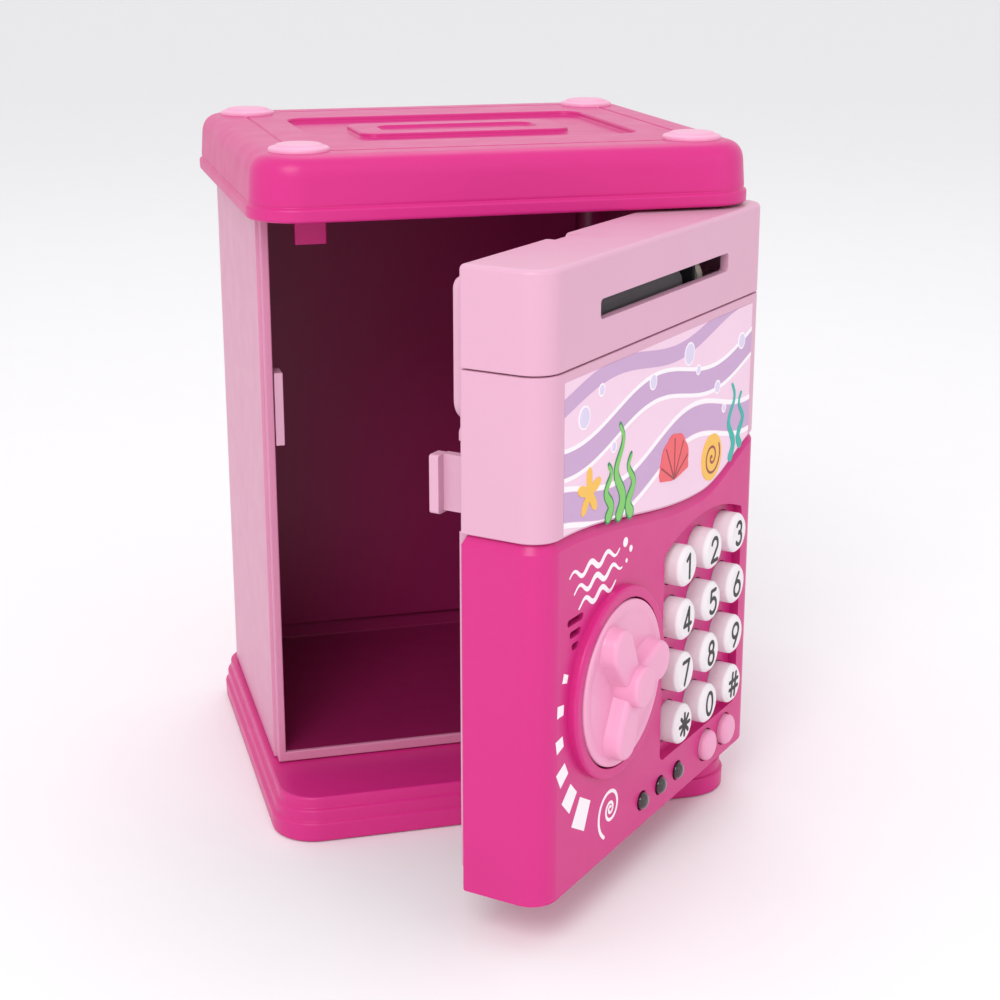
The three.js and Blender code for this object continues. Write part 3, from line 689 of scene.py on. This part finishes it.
def blade_outline(grow, angle):
    """Two arcs joined by the circles' outer tangents, turned to an angle about the dial."""
    lean = math.asin((BLADE_TIP - BLADE_ROOT) / BLADE_LENGTH)
    tip = np.linspace(-math.pi / 2 - lean, math.pi / 2 + lean, 25)
    root = np.linspace(math.pi / 2 + lean, 1.5 * math.pi - lean, 13)
    outer = np.stack([BLADE_LENGTH + (BLADE_TIP + grow) * np.cos(tip), (BLADE_TIP + grow) * np.sin(tip)], 1)
    inner = np.stack([(BLADE_ROOT + grow) * np.cos(root), (BLADE_ROOT + grow) * np.sin(root)], 1)
    flat = np.concatenate([outer, inner])
    c, s = math.cos(math.radians(angle)), math.sin(math.radians(angle))
    return flat @ np.array([[c, s], [-s, c]]) + DIAL


def raised(name, outline, profile):
    """Rings of an (x, z) outline at several depths: profile is (grow, y) from back to front."""
    rings = []
    for grow, y in profile:
        flat = outline(grow)
        rings.append(np.column_stack([flat[:, 0], np.full(len(flat), y), flat[:, 1]]))
    return loft(name, rings, door=True)


R = DIAL_RADIUS
disc_profile = rounded([(0, FRONT + 6.8, 0), (3, FRONT + 6.8, 0), (3, FRONT + 0.7, 0),
                        (R - 0.2, FRONT + 0.7, 0.2), (R, FRONT - 3.0, 0.9),
                        (R - 2.2, FRONT - 2.9, 0.6), (R - 4, FRONT - 2.5, 0.8),
                        (0, FRONT - 2.3, 0)])
dial = turned("dial_moulding", disc_profile, DIAL, sides=128)
blade_profile = [(0.6, FRONT - 2.0), (0.35, FRONT - 2.6), (0.0, FRONT - 3.4), (-0.15, FRONT - 5.6),
                 (-0.4, FRONT - 6.25), (-0.8, FRONT - 6.7), (-1.5, FRONT - 6.95)]
for angle in BLADE_ANGLES:
    boolean(dial, raised("blade", lambda grow, a=angle: blade_outline(grow, a), blade_profile), "UNION")
hub_profile = rounded([(0, FRONT - 2, 0), (5.7, FRONT - 2, 0), (5.5, FRONT - 9.3, 1.1), (0, FRONT - 9.4, 0)])
boolean(dial, turned("hub", hub_profile, DIAL, sides=48), "UNION")
smooth(dial, 38)
place(dial, "dial_knob", dial_pink, "dial", slot="dial_pink")
print("dial:", len(dial.data.polygons), "faces")

# %% [markdown]
# All the decoration is printed: thin films of ink a few hundredths of a millimetre proud. A film
# is a filled outline, or a strip that follows a path at its own width.

# %% Printed films
FILM = 0.04


def film(outline, layer=1):
    """A filled outline on the door's front face, one film thickness higher for each layer."""
    return prism(outline, FRONT - FILM * layer, FRONT + 0.02)


def line(path, width, layer=1, face=None):
    """A strip of even or varying width along an (x, z) path: each point is moved to both sides
    along the normal, and the ends are rounded by a half circle."""
    path = np.asarray(path, float)
    face = FRONT if face is None else face
    along = np.gradient(path, axis=0)
    along /= np.linalg.norm(along, axis=1)[:, None]
    side = np.column_stack([-along[:, 1], along[:, 0]])
    half = np.broadcast_to(np.asarray(width, float) / 2, len(path))[:, None]
    turn = np.radians(np.linspace(-80, 80, 7))[:, None]
    head_end = path[-1] + half[-1] * (np.cos(turn) * along[-1] + np.sin(turn) * side[-1])
    tail_end = path[0] - half[0] * (np.cos(turn) * along[0] + np.sin(turn) * side[0])
    right, left = path - side * half, path + side * half
    count = len(path)
    rim = np.concatenate([right, head_end, left[::-1], tail_end])
    front = np.column_stack([rim[:, 0], np.full(len(rim), face - FILM * layer), rim[:, 1]])
    back = front + [0, FILM * layer + 0.02, 0]
    size = len(rim)
    i = np.arange(count - 1)
    mirror = 2 * count + 6 - i
    quads = np.stack([i, i + 1, mirror - 1, mirror], 1).tolist()
    head_fan = list(range(count - 1, count + 8))
    tail_fan = [2 * count + 6 + k for k in range(1, 8)] + [0, 2 * count + 6]
    ends = [head_fan, tail_fan]
    caps = quads + ends
    faces = caps + [[size + v for v in face[::-1]] for face in caps]
    j = np.arange(size)
    faces += np.stack([j, (j + 1) % size, size + (j + 1) % size, size + j], 1).tolist()
    return finish_mesh("line", np.concatenate([front, back]), faces, door=True)


def circle(x, z, radius, layer=1, sides=40):
    a = np.arange(sides) * 2 * math.pi / sides
    return film(np.column_stack([x + radius * np.cos(a), z + radius * np.sin(a)]), layer)

# %% [markdown]
# A key is a short turned cap with a flange behind the panel. The digits are printed on top.
# They are plain round-ended strokes, so each digit is a short list of straight runs and arcs
# about its own centre, drawn with the same strip as every other printed line.

# %% Keys
KEY_TOP = FRONT - 3.2
KEY_BACK = FRONT + 6.3
key_profile = rounded([(0, KEY_TOP, 0), (4.75, KEY_TOP, 0.3), (5.75, KEY_TOP + 0.95, 0.4),
                       (5.75, FRONT + 5.1, 0),
                       (6.9, FRONT + 5.1, 0.2), (6.9, KEY_BACK, 0.2), (0, KEY_BACK, 0)])


def arc(x, z, radius, start, end, tall=1.0):
    """Points along an arc in degrees. tall stretches it upward into part of an ellipse."""
    a = np.radians(np.linspace(start, end, 30))
    return np.column_stack([x + radius * np.cos(a), z + tall * radius * np.sin(a)])


def curve(a, b, c):
    """A quadratic curve from a to c that is drawn towards b."""
    t = np.linspace(0, 1, 16)[:, None]
    return np.array(a) * (1 - t) ** 2 + np.array(b) * 2 * t * (1 - t) + np.array(c) * t ** 2


def straight(*points):
    return [np.linspace(a, b, 3) for a, b in zip(points, points[1:])]


def crossing(length, angle, shift=0.0):
    """A stroke through the middle at an angle, moved sideways by a shift."""
    a = math.radians(angle)
    along, side = np.array([math.cos(a), math.sin(a)]), np.array([-math.sin(a), math.cos(a)])
    return np.linspace(side * shift - along * length / 2, side * shift + along * length / 2, 3)


STROKES = {
    "1": straight((-1.2, 1.85), (0.35, 3.0)) + straight((0.35, 3.0), (0.35, -3.0)),
    "2": [np.vstack([arc(0, 1.25, 1.75, 165, -35), [(-1.75, -2.95)]])] +
         straight((-1.75, -3.0), (1.85, -3.0)),
    "3": [arc(-0.1, 1.5, 1.5, 150, -90), arc(-0.1, -1.35, 1.65, 90, -150)],
    "4": straight((0.8, 3.0), (-2.0, -1.3), (2.0, -1.3)) + straight((0.8, 3.0), (0.8, -3.0)),
    "5": straight((1.5, 3.0), (-1.1, 3.0), (-1.45, 0.35)) + [arc(-0.05, -1.05, 1.95, 135, -145)],
    "6": [arc(0, -1.1, 1.9, 0, 360), curve((-1.85, -0.7), (-1.3, 0.9), (0.75, 3.0))],
    "7": straight((-1.8, 3.0), (1.8, 3.0), (-0.7, -3.0)),
    "8": [arc(0, 1.6, 1.4, 0, 360), arc(0, -1.35, 1.65, 0, 360)],
    "9": [arc(0, 1.1, 1.9, 0, 360), curve((1.85, 0.7), (1.3, -0.9), (-0.75, -3.0))],
    "0": [arc(0, 0, 1.8, 0, 360, 1.67)],
    "star": [crossing(5.8, angle) for angle in (0, 45, 90, 135)],
    "hash": [crossing(5.2, 0, shift) for shift in (-1.05, 1.05)] +
            [crossing(6.2, 82, shift) for shift in (-1.05, 1.05)],
}
DIGIT_SCALE = 1.1
STROKE = 1.14

for label, (x, z) in KEYS.items():
    cap = turned(f"key_cap_{label}", key_profile, (x, z), sides=48)
    place(cap, f"key_body_{label}", key_white, f"key_{label}", slot="key_white")
    strokes = [line(path * DIGIT_SCALE + [x, z], STROKE, 1 + 0.2 * k, KEY_TOP)
               for k, path in enumerate(STROKES[label])]
    mark = joined(f"key_print_{label}", strokes)
    place(mark, f"key_body_{label}", ink_black, slot="led_lens")
print("keys:", len(KEYS))

# %% [markdown]
# The two buttons are low domes and the lamps are smoked domes, all turned profiles.

# %% Buttons and lamps
for i, (x, z) in BUTTONS.items():
    profile = rounded([(0, FRONT - 2.6, 0), (3.0, FRONT - 2.45, 1.0), (4.5, FRONT - 1.5, 0.9),
                       (4.5, FRONT + 2.8, 0),
                       (5.2, FRONT + 2.8, 0.2), (5.2, FRONT + 4.4, 0.2), (0, FRONT + 4.4, 0)])
    place(turned(f"button_cap_{i}", profile, (x, z), sides=48), f"button_body_{i}", dial_pink,
          f"button_{i}", slot="dial_pink")
quarter = np.radians(np.linspace(0, 90, 12))
for i, (x, z) in LAMPS.items():
    dome = [(2.5 * math.cos(t), FRONT - 0.1 - 1.8 * math.sin(t)) for t in quarter]
    profile = [(0, FRONT + 7), (2.5, FRONT + 7)] + dome
    place(turned(f"lamp_dome_{i}", profile, (x, z), sides=40), "door", lamp_black, f"led_{i}",
          slot="led_lens")

# %% [markdown]
# Behind the front shells lie the inner covers. The banknote housing is deeper than the rest and
# has big soft corners. The latch bolt reaches back past the cover and hooks sideways.

# %% Rear covers and latch
house_low, house_high = shut_box("feeder_housing")
house_rect = (house_low[0], house_high[0], house_low[2], house_high[2], (6, 6, 3, 3))
depth = house_high[1]
housing = raised("feeder_housing_moulding", lambda grow: xz_ring(house_rect, grow),
                 [(-0.2, house_low[1]), (0, house_low[1] + 0.2), (0, depth - 2.0), (-0.15, depth - 1.2),
                  (-0.6, depth - 0.5), (-1.2, depth - 0.12), (-2.0, depth)])
boolean(housing, prism(xz_ring(note_rect), REAR - 2, REAR + 8))
smooth(housing, 34)
place(housing, "door", pale_pink, "feeder_housing", slot="pale_pink")
place(softened_copy("door_back", 0.4), "door", pale_pink, "door_back", slot="pale_pink")
place(softened_copy("battery_cover", 0.4), "door", pale_pink, "battery_cover", slot="pale_pink")
place(softened_copy("latch_bolt", 0.5), "latch", pale_pink, "latch_bolt", slot="pale_pink")

# %% [markdown]
# The dial's scale is six white blocks that grow as they go round, and beside it is a coiled
# shell: a line that follows r = r0 * exp(k * angle), so each turn is wider than the last.

# %% Dial scale and coil
def block(x, z, size, angle):
    """A square centred on (x, z), a little narrower on the side that faces the dial."""
    a = math.radians(angle)
    out, across = np.array([math.cos(a), math.sin(a)]), np.array([-math.sin(a), math.cos(a)])
    corners = ((-0.5, -0.42), (0.5, -0.5), (0.5, 0.5), (-0.5, 0.42))
    return film([np.array([x, z]) + size * (u * out + v * across) for u, v in corners])


scale = [block(DIAL[0] + r * math.cos(math.radians(a)), DIAL[1] + r * math.sin(math.radians(a)), size, a)
         for a, r, size in ((159.5, 29.1, 2.5), (175.4, 29.7, 3.2), (192.3, 30.6, 3.6), (208.4, 32.2, 4.8),
                            (223.8, 33.7, 6.0), (239.8, 35.2, 8.0))]
place(joined("dial_scale_print", scale), "door", ink_white, slot="key_white")

angle = np.linspace(0, 5.1 * math.pi, 150)
reach_out = 0.62 * np.exp(0.158 * angle)
coil = np.column_stack([DIAL[0] - 1.2 + reach_out * np.cos(angle + 0.25 * math.pi),
                        DIAL[1] - 35.9 + reach_out * np.sin(angle + 0.25 * math.pi)])
coil_line = line(coil, np.linspace(0.7, 1.05, len(coil)))
place(joined("coil_print", [coil_line]), "door", ink_white, slot="key_white")

# %% [markdown]
# Above the sound slots the panel carries a small white emblem. This one is three rolling waves
# with bubbles over them.

# %% Emblem
emblem = []
for k, (x, z, length) in enumerate(((-52.5, 99.0, 27), (-50.0, 94.6, 26), (-47.5, 90.4, 20))):
    u = np.linspace(0, 1, 60)
    path = np.column_stack([x + length * u, z + 1.15 * np.sin(2 * math.pi * (length / 9) * u - 0.4 * k)])
    emblem.append(line(path, 0.5 + 1.0 * np.sin(math.pi * u), 1 + 0.3 * k))
for x, z, radius in ((-22.2, 99.8, 1.3), (-19.0, 97.2, 0.9), (-21.4, 94.6, 0.6)):
    emblem.append(circle(x, z, radius, 2))
place(joined("emblem_print", emblem), "door", ink_white, slot="key_white")

# %% [markdown]
# The middle shell carries a printed label of a sea bed: lilac currents edged in white, weed,
# shells and bubbles. Each ink is one film, and each lies a layer above the one it covers.

# %% Label
LABEL_HALF, LABEL_TOP = 56.0, 148.6
label_x = np.linspace(-LABEL_HALF, LABEL_HALF, 90)


def ink(name, colour, rough=0.42):
    return plastic(name, colour, rough, 0.03, 0.01)


def above_seam(z, x):
    return np.clip(z, seam(x) + 1.0, LABEL_TOP)


def current(z, rise, thick, phase, layer):
    """The area between two sine waves, kept inside the label."""
    wave = z + rise * np.sin(label_x / 13 + phase) + 0.05 * label_x
    low, high = above_seam(wave - thick / 2, label_x), above_seam(wave + thick / 2 + 0.02, label_x)
    under, over = np.column_stack([label_x, low]), np.column_stack([label_x, high])
    return film(np.concatenate([under, over[::-1]]), layer)


def frond(x, height, sway, width, layer, turns=1.5):
    """A weed that grows from the seam, swaying as a sine and tapering to its tip."""
    t = np.linspace(0, 1, 40)
    foot = float(seam(x)) + 1.6
    path = np.column_stack([x + sway * np.sin(2 * math.pi * turns * t), foot + height * t])
    return line(path, width * (1 - 0.75 * t) + 0.3, layer)


def fan(x, z, radius, ribs, layer, grow=0.0):
    """A scallop: a half disc whose rim swells between its ribs."""
    a = np.radians(np.linspace(-15, 195, 90))
    r = radius * (1 + 0.06 * np.abs(np.sin(a * ribs / 2))) + grow
    rim = np.column_stack([x + r * np.cos(a), z + r * np.sin(a)])
    foot = z - radius * 0.42 - grow
    return film(np.vstack([rim, [[x - 1.6 - grow, foot], [x + 1.6 + grow, foot]]]), layer)


def star_shape(x, z, radius, layer):
    """Five arms: the radius swings between tip and waist five times round."""
    a = np.radians(np.linspace(0, 360, 100, endpoint=False))
    r = radius * (0.68 + 0.32 * np.cos(5 * a))
    return film(np.column_stack([x + r * np.sin(a), z + r * np.cos(a)]), layer)


edge = np.concatenate([np.column_stack([label_x, seam(label_x) + 1.0]),
                       [[LABEL_HALF, LABEL_TOP], [-LABEL_HALF, LABEL_TOP]]])
bubbles = ((-46, 138, 3.0), (-37, 143, 1.7), (-8, 139, 2.2), (14, 142, 3.2), (20, 136.5, 1.5),
           (49, 139, 2.4), (-30, 127, 1.6), (33, 129, 2.0), (38, 122, 1.4))
t = np.linspace(0, 1, 60)
winding = 3.8 * math.pi * t + 1.2
swirl = np.column_stack([30.5 + 5.4 * t * np.cos(winding), 109.6 + 5.4 * t * np.sin(winding)])
ribs = [np.linspace((6, 109.5), (6 + 8.2 * math.cos(a), 113 + 7.6 * math.sin(a)), 4)
        for a in np.radians((10, 50, 90, 130, 170))]
WEED = ((-26.5, 23, 1.9, 3.0), (-20, 15, -1.5, 2.7), (-32.5, 13, 1.4, 2.6))
RIBBON = ((43.5, 21, 1.8, 2.6), (50, 15, -1.5, 2.4))
LABEL = {
    "base": (ink("label pale pink", (0.86, 0.60, 0.75)), [film(edge, 1)]),
    "lilac": (ink("label lilac", (0.56, 0.35, 0.58)),
              [current(118, 4.0, 7.5, 0.4, 2), current(134, 3.4, 6.0, 2.2, 2),
               current(146, 2.6, 4.4, 4.0, 2)]),
    "white": (ink_white,
              [current(122.6, 4.0, 1.3, 0.4, 3), current(113.4, 4.0, 1.3, 0.4, 3),
               current(137.6, 3.4, 1.1, 2.2, 3), current(130.4, 3.4, 1.1, 2.2, 3)] +
              [circle(x, z, r, 4) for x, z, r in bubbles]),
    "bubble": (ink("label bubble", (0.70, 0.62, 0.82)), [circle(x, z, r - 0.45, 5) for x, z, r in bubbles]),
    "dark_green": (ink("label dark green", (0.02, 0.22, 0.09)),
                   [frond(x, h + 0.6, w, d + 1.0, 4 + 0.2 * k) for k, (x, h, w, d) in enumerate(WEED)]),
    "green": (ink("label green", (0.20, 0.56, 0.12)),
              [frond(x, h, w, d, 5 + 0.2 * k) for k, (x, h, w, d) in enumerate(WEED)]),
    "teal": (ink("label teal", (0.015, 0.42, 0.36)),
             [frond(x, h, w, d, 5 + 0.2 * k) for k, (x, h, w, d) in enumerate(RIBBON)]),
    "coral": (ink("label coral", (0.82, 0.10, 0.12)), [fan(6, 113, 8.6, 9, 6)]),
    "yellow": (ink("label yellow", (0.88, 0.50, 0.07)),
               [circle(30.5, 109.6, 6.6, 6), star_shape(-43, 118.5, 6.4, 6)]),
    "outline": (ink("label line", (0.30, 0.035, 0.05)),
                [line(path, 0.5, 7 + 0.1 * k) for k, path in enumerate(ribs)] + [line(swirl, 0.7, 7)]),
}
for name, (material, films) in LABEL.items():
    place(joined(f"label_{name}_print", films), "door", material, slot="key_white")
print("label inks:", len(LABEL))

# %% [markdown]
# The works inside keep their CAD shapes, because they are plain and mostly hidden. Each gets
# the finish of what it is made of.

# %% Works
WORKS = {steel: ["base_screw_1", "base_screw_2", "base_screw_3", "base_screw_4", "hinge_pin_lower",
                 "hinge_pin_upper", "battery_cover_screw", "lock_solenoid", "feed_motor"],
         dark_plastic: ["battery_box", "speaker", "feeder_frame"],
         cell_skin: ["battery_cell_1", "battery_cell_2", "battery_cell_3"],
         gear_white: ["dial_pinion", "roller_gear", "motor_pinion"],
         rubber: ["keypad_mat", "feed_roller", "pinch_roller"], board_green: ["circuit_board"]}
for material, names in WORKS.items():
    for name in names:
        for holder in frame["nodes"][name].material_slots:
            holder.material = material

# %% [markdown]
# A pale floor and three big soft lamps show the plastic plainly. The key lamp stands to the left,
# where it lights the door's edge and the lid, the fill lights the front from the right, and the
# back lamp lights the rear.

# %% Floor, light and camera
floor_mesh = bpy.data.meshes.new("floor")
reach = 30.0
floor_mesh.from_pydata([(-reach, -reach, 0), (reach, -reach, 0), (reach, reach, 0), (-reach, reach, 0)],
                       [], [(0, 1, 2, 3)])
floor = bpy.data.objects.new("floor", floor_mesh)
bpy.context.collection.objects.link(floor)
floor.location.z = -0.0002
floor_mesh.materials.append(plastic("floor", (0.90, 0.89, 0.90), 0.75, 0.01, 0.01, 0.0, 0.2))
floor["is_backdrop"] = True

TARGET = np.array([0.001, -0.045, 0.092])


def towards(azimuth, elevation, distance):
    """A point seen from the target at an azimuth from the front and an elevation."""
    a, e = math.radians(azimuth), math.radians(elevation)
    way = np.array([math.sin(a) * math.cos(e), -math.cos(a) * math.cos(e), math.sin(e)])
    return TARGET + way * distance


def aim(thing, place_at):
    """Stand a camera or lamp at a place and point it at the target."""
    thing.location = Vector(place_at)
    thing.rotation_euler = Vector(TARGET - place_at).to_track_quat("-Z", "Y").to_euler()
    bpy.context.collection.objects.link(thing)


def lamp(name, azimuth, elevation, distance, size, power):
    data = bpy.data.lights.new(name, "AREA")
    data.shape = "DISK"
    data.size = size
    data.energy = power
    aim(bpy.data.objects.new(name, data), towards(azimuth, elevation, distance))


lamp("key", -30, 40, 1.2, 0.6, 5.5)
lamp("fill", 45, 18, 1.4, 1.0, 1.0)
lamp("back", 165, 55, 1.3, 0.8, 1.5)
world = bpy.data.worlds.new("studio")
bpy.context.scene.world = world
world.use_nodes = True
world.node_tree.nodes["Background"].inputs[0].default_value = (0.95, 0.95, 0.96, 1)
world.node_tree.nodes["Background"].inputs[1].default_value = 0.95
bpy.context.scene.view_settings.view_transform = "Standard"

camera_data = bpy.data.cameras.new("camera")
camera_data.lens = 70
camera = bpy.data.objects.new("camera", camera_data)
aim(camera, towards(-15, 17, 0.56))
bpy.context.scene.camera = camera

# %% Sizes and finish
low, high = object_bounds()
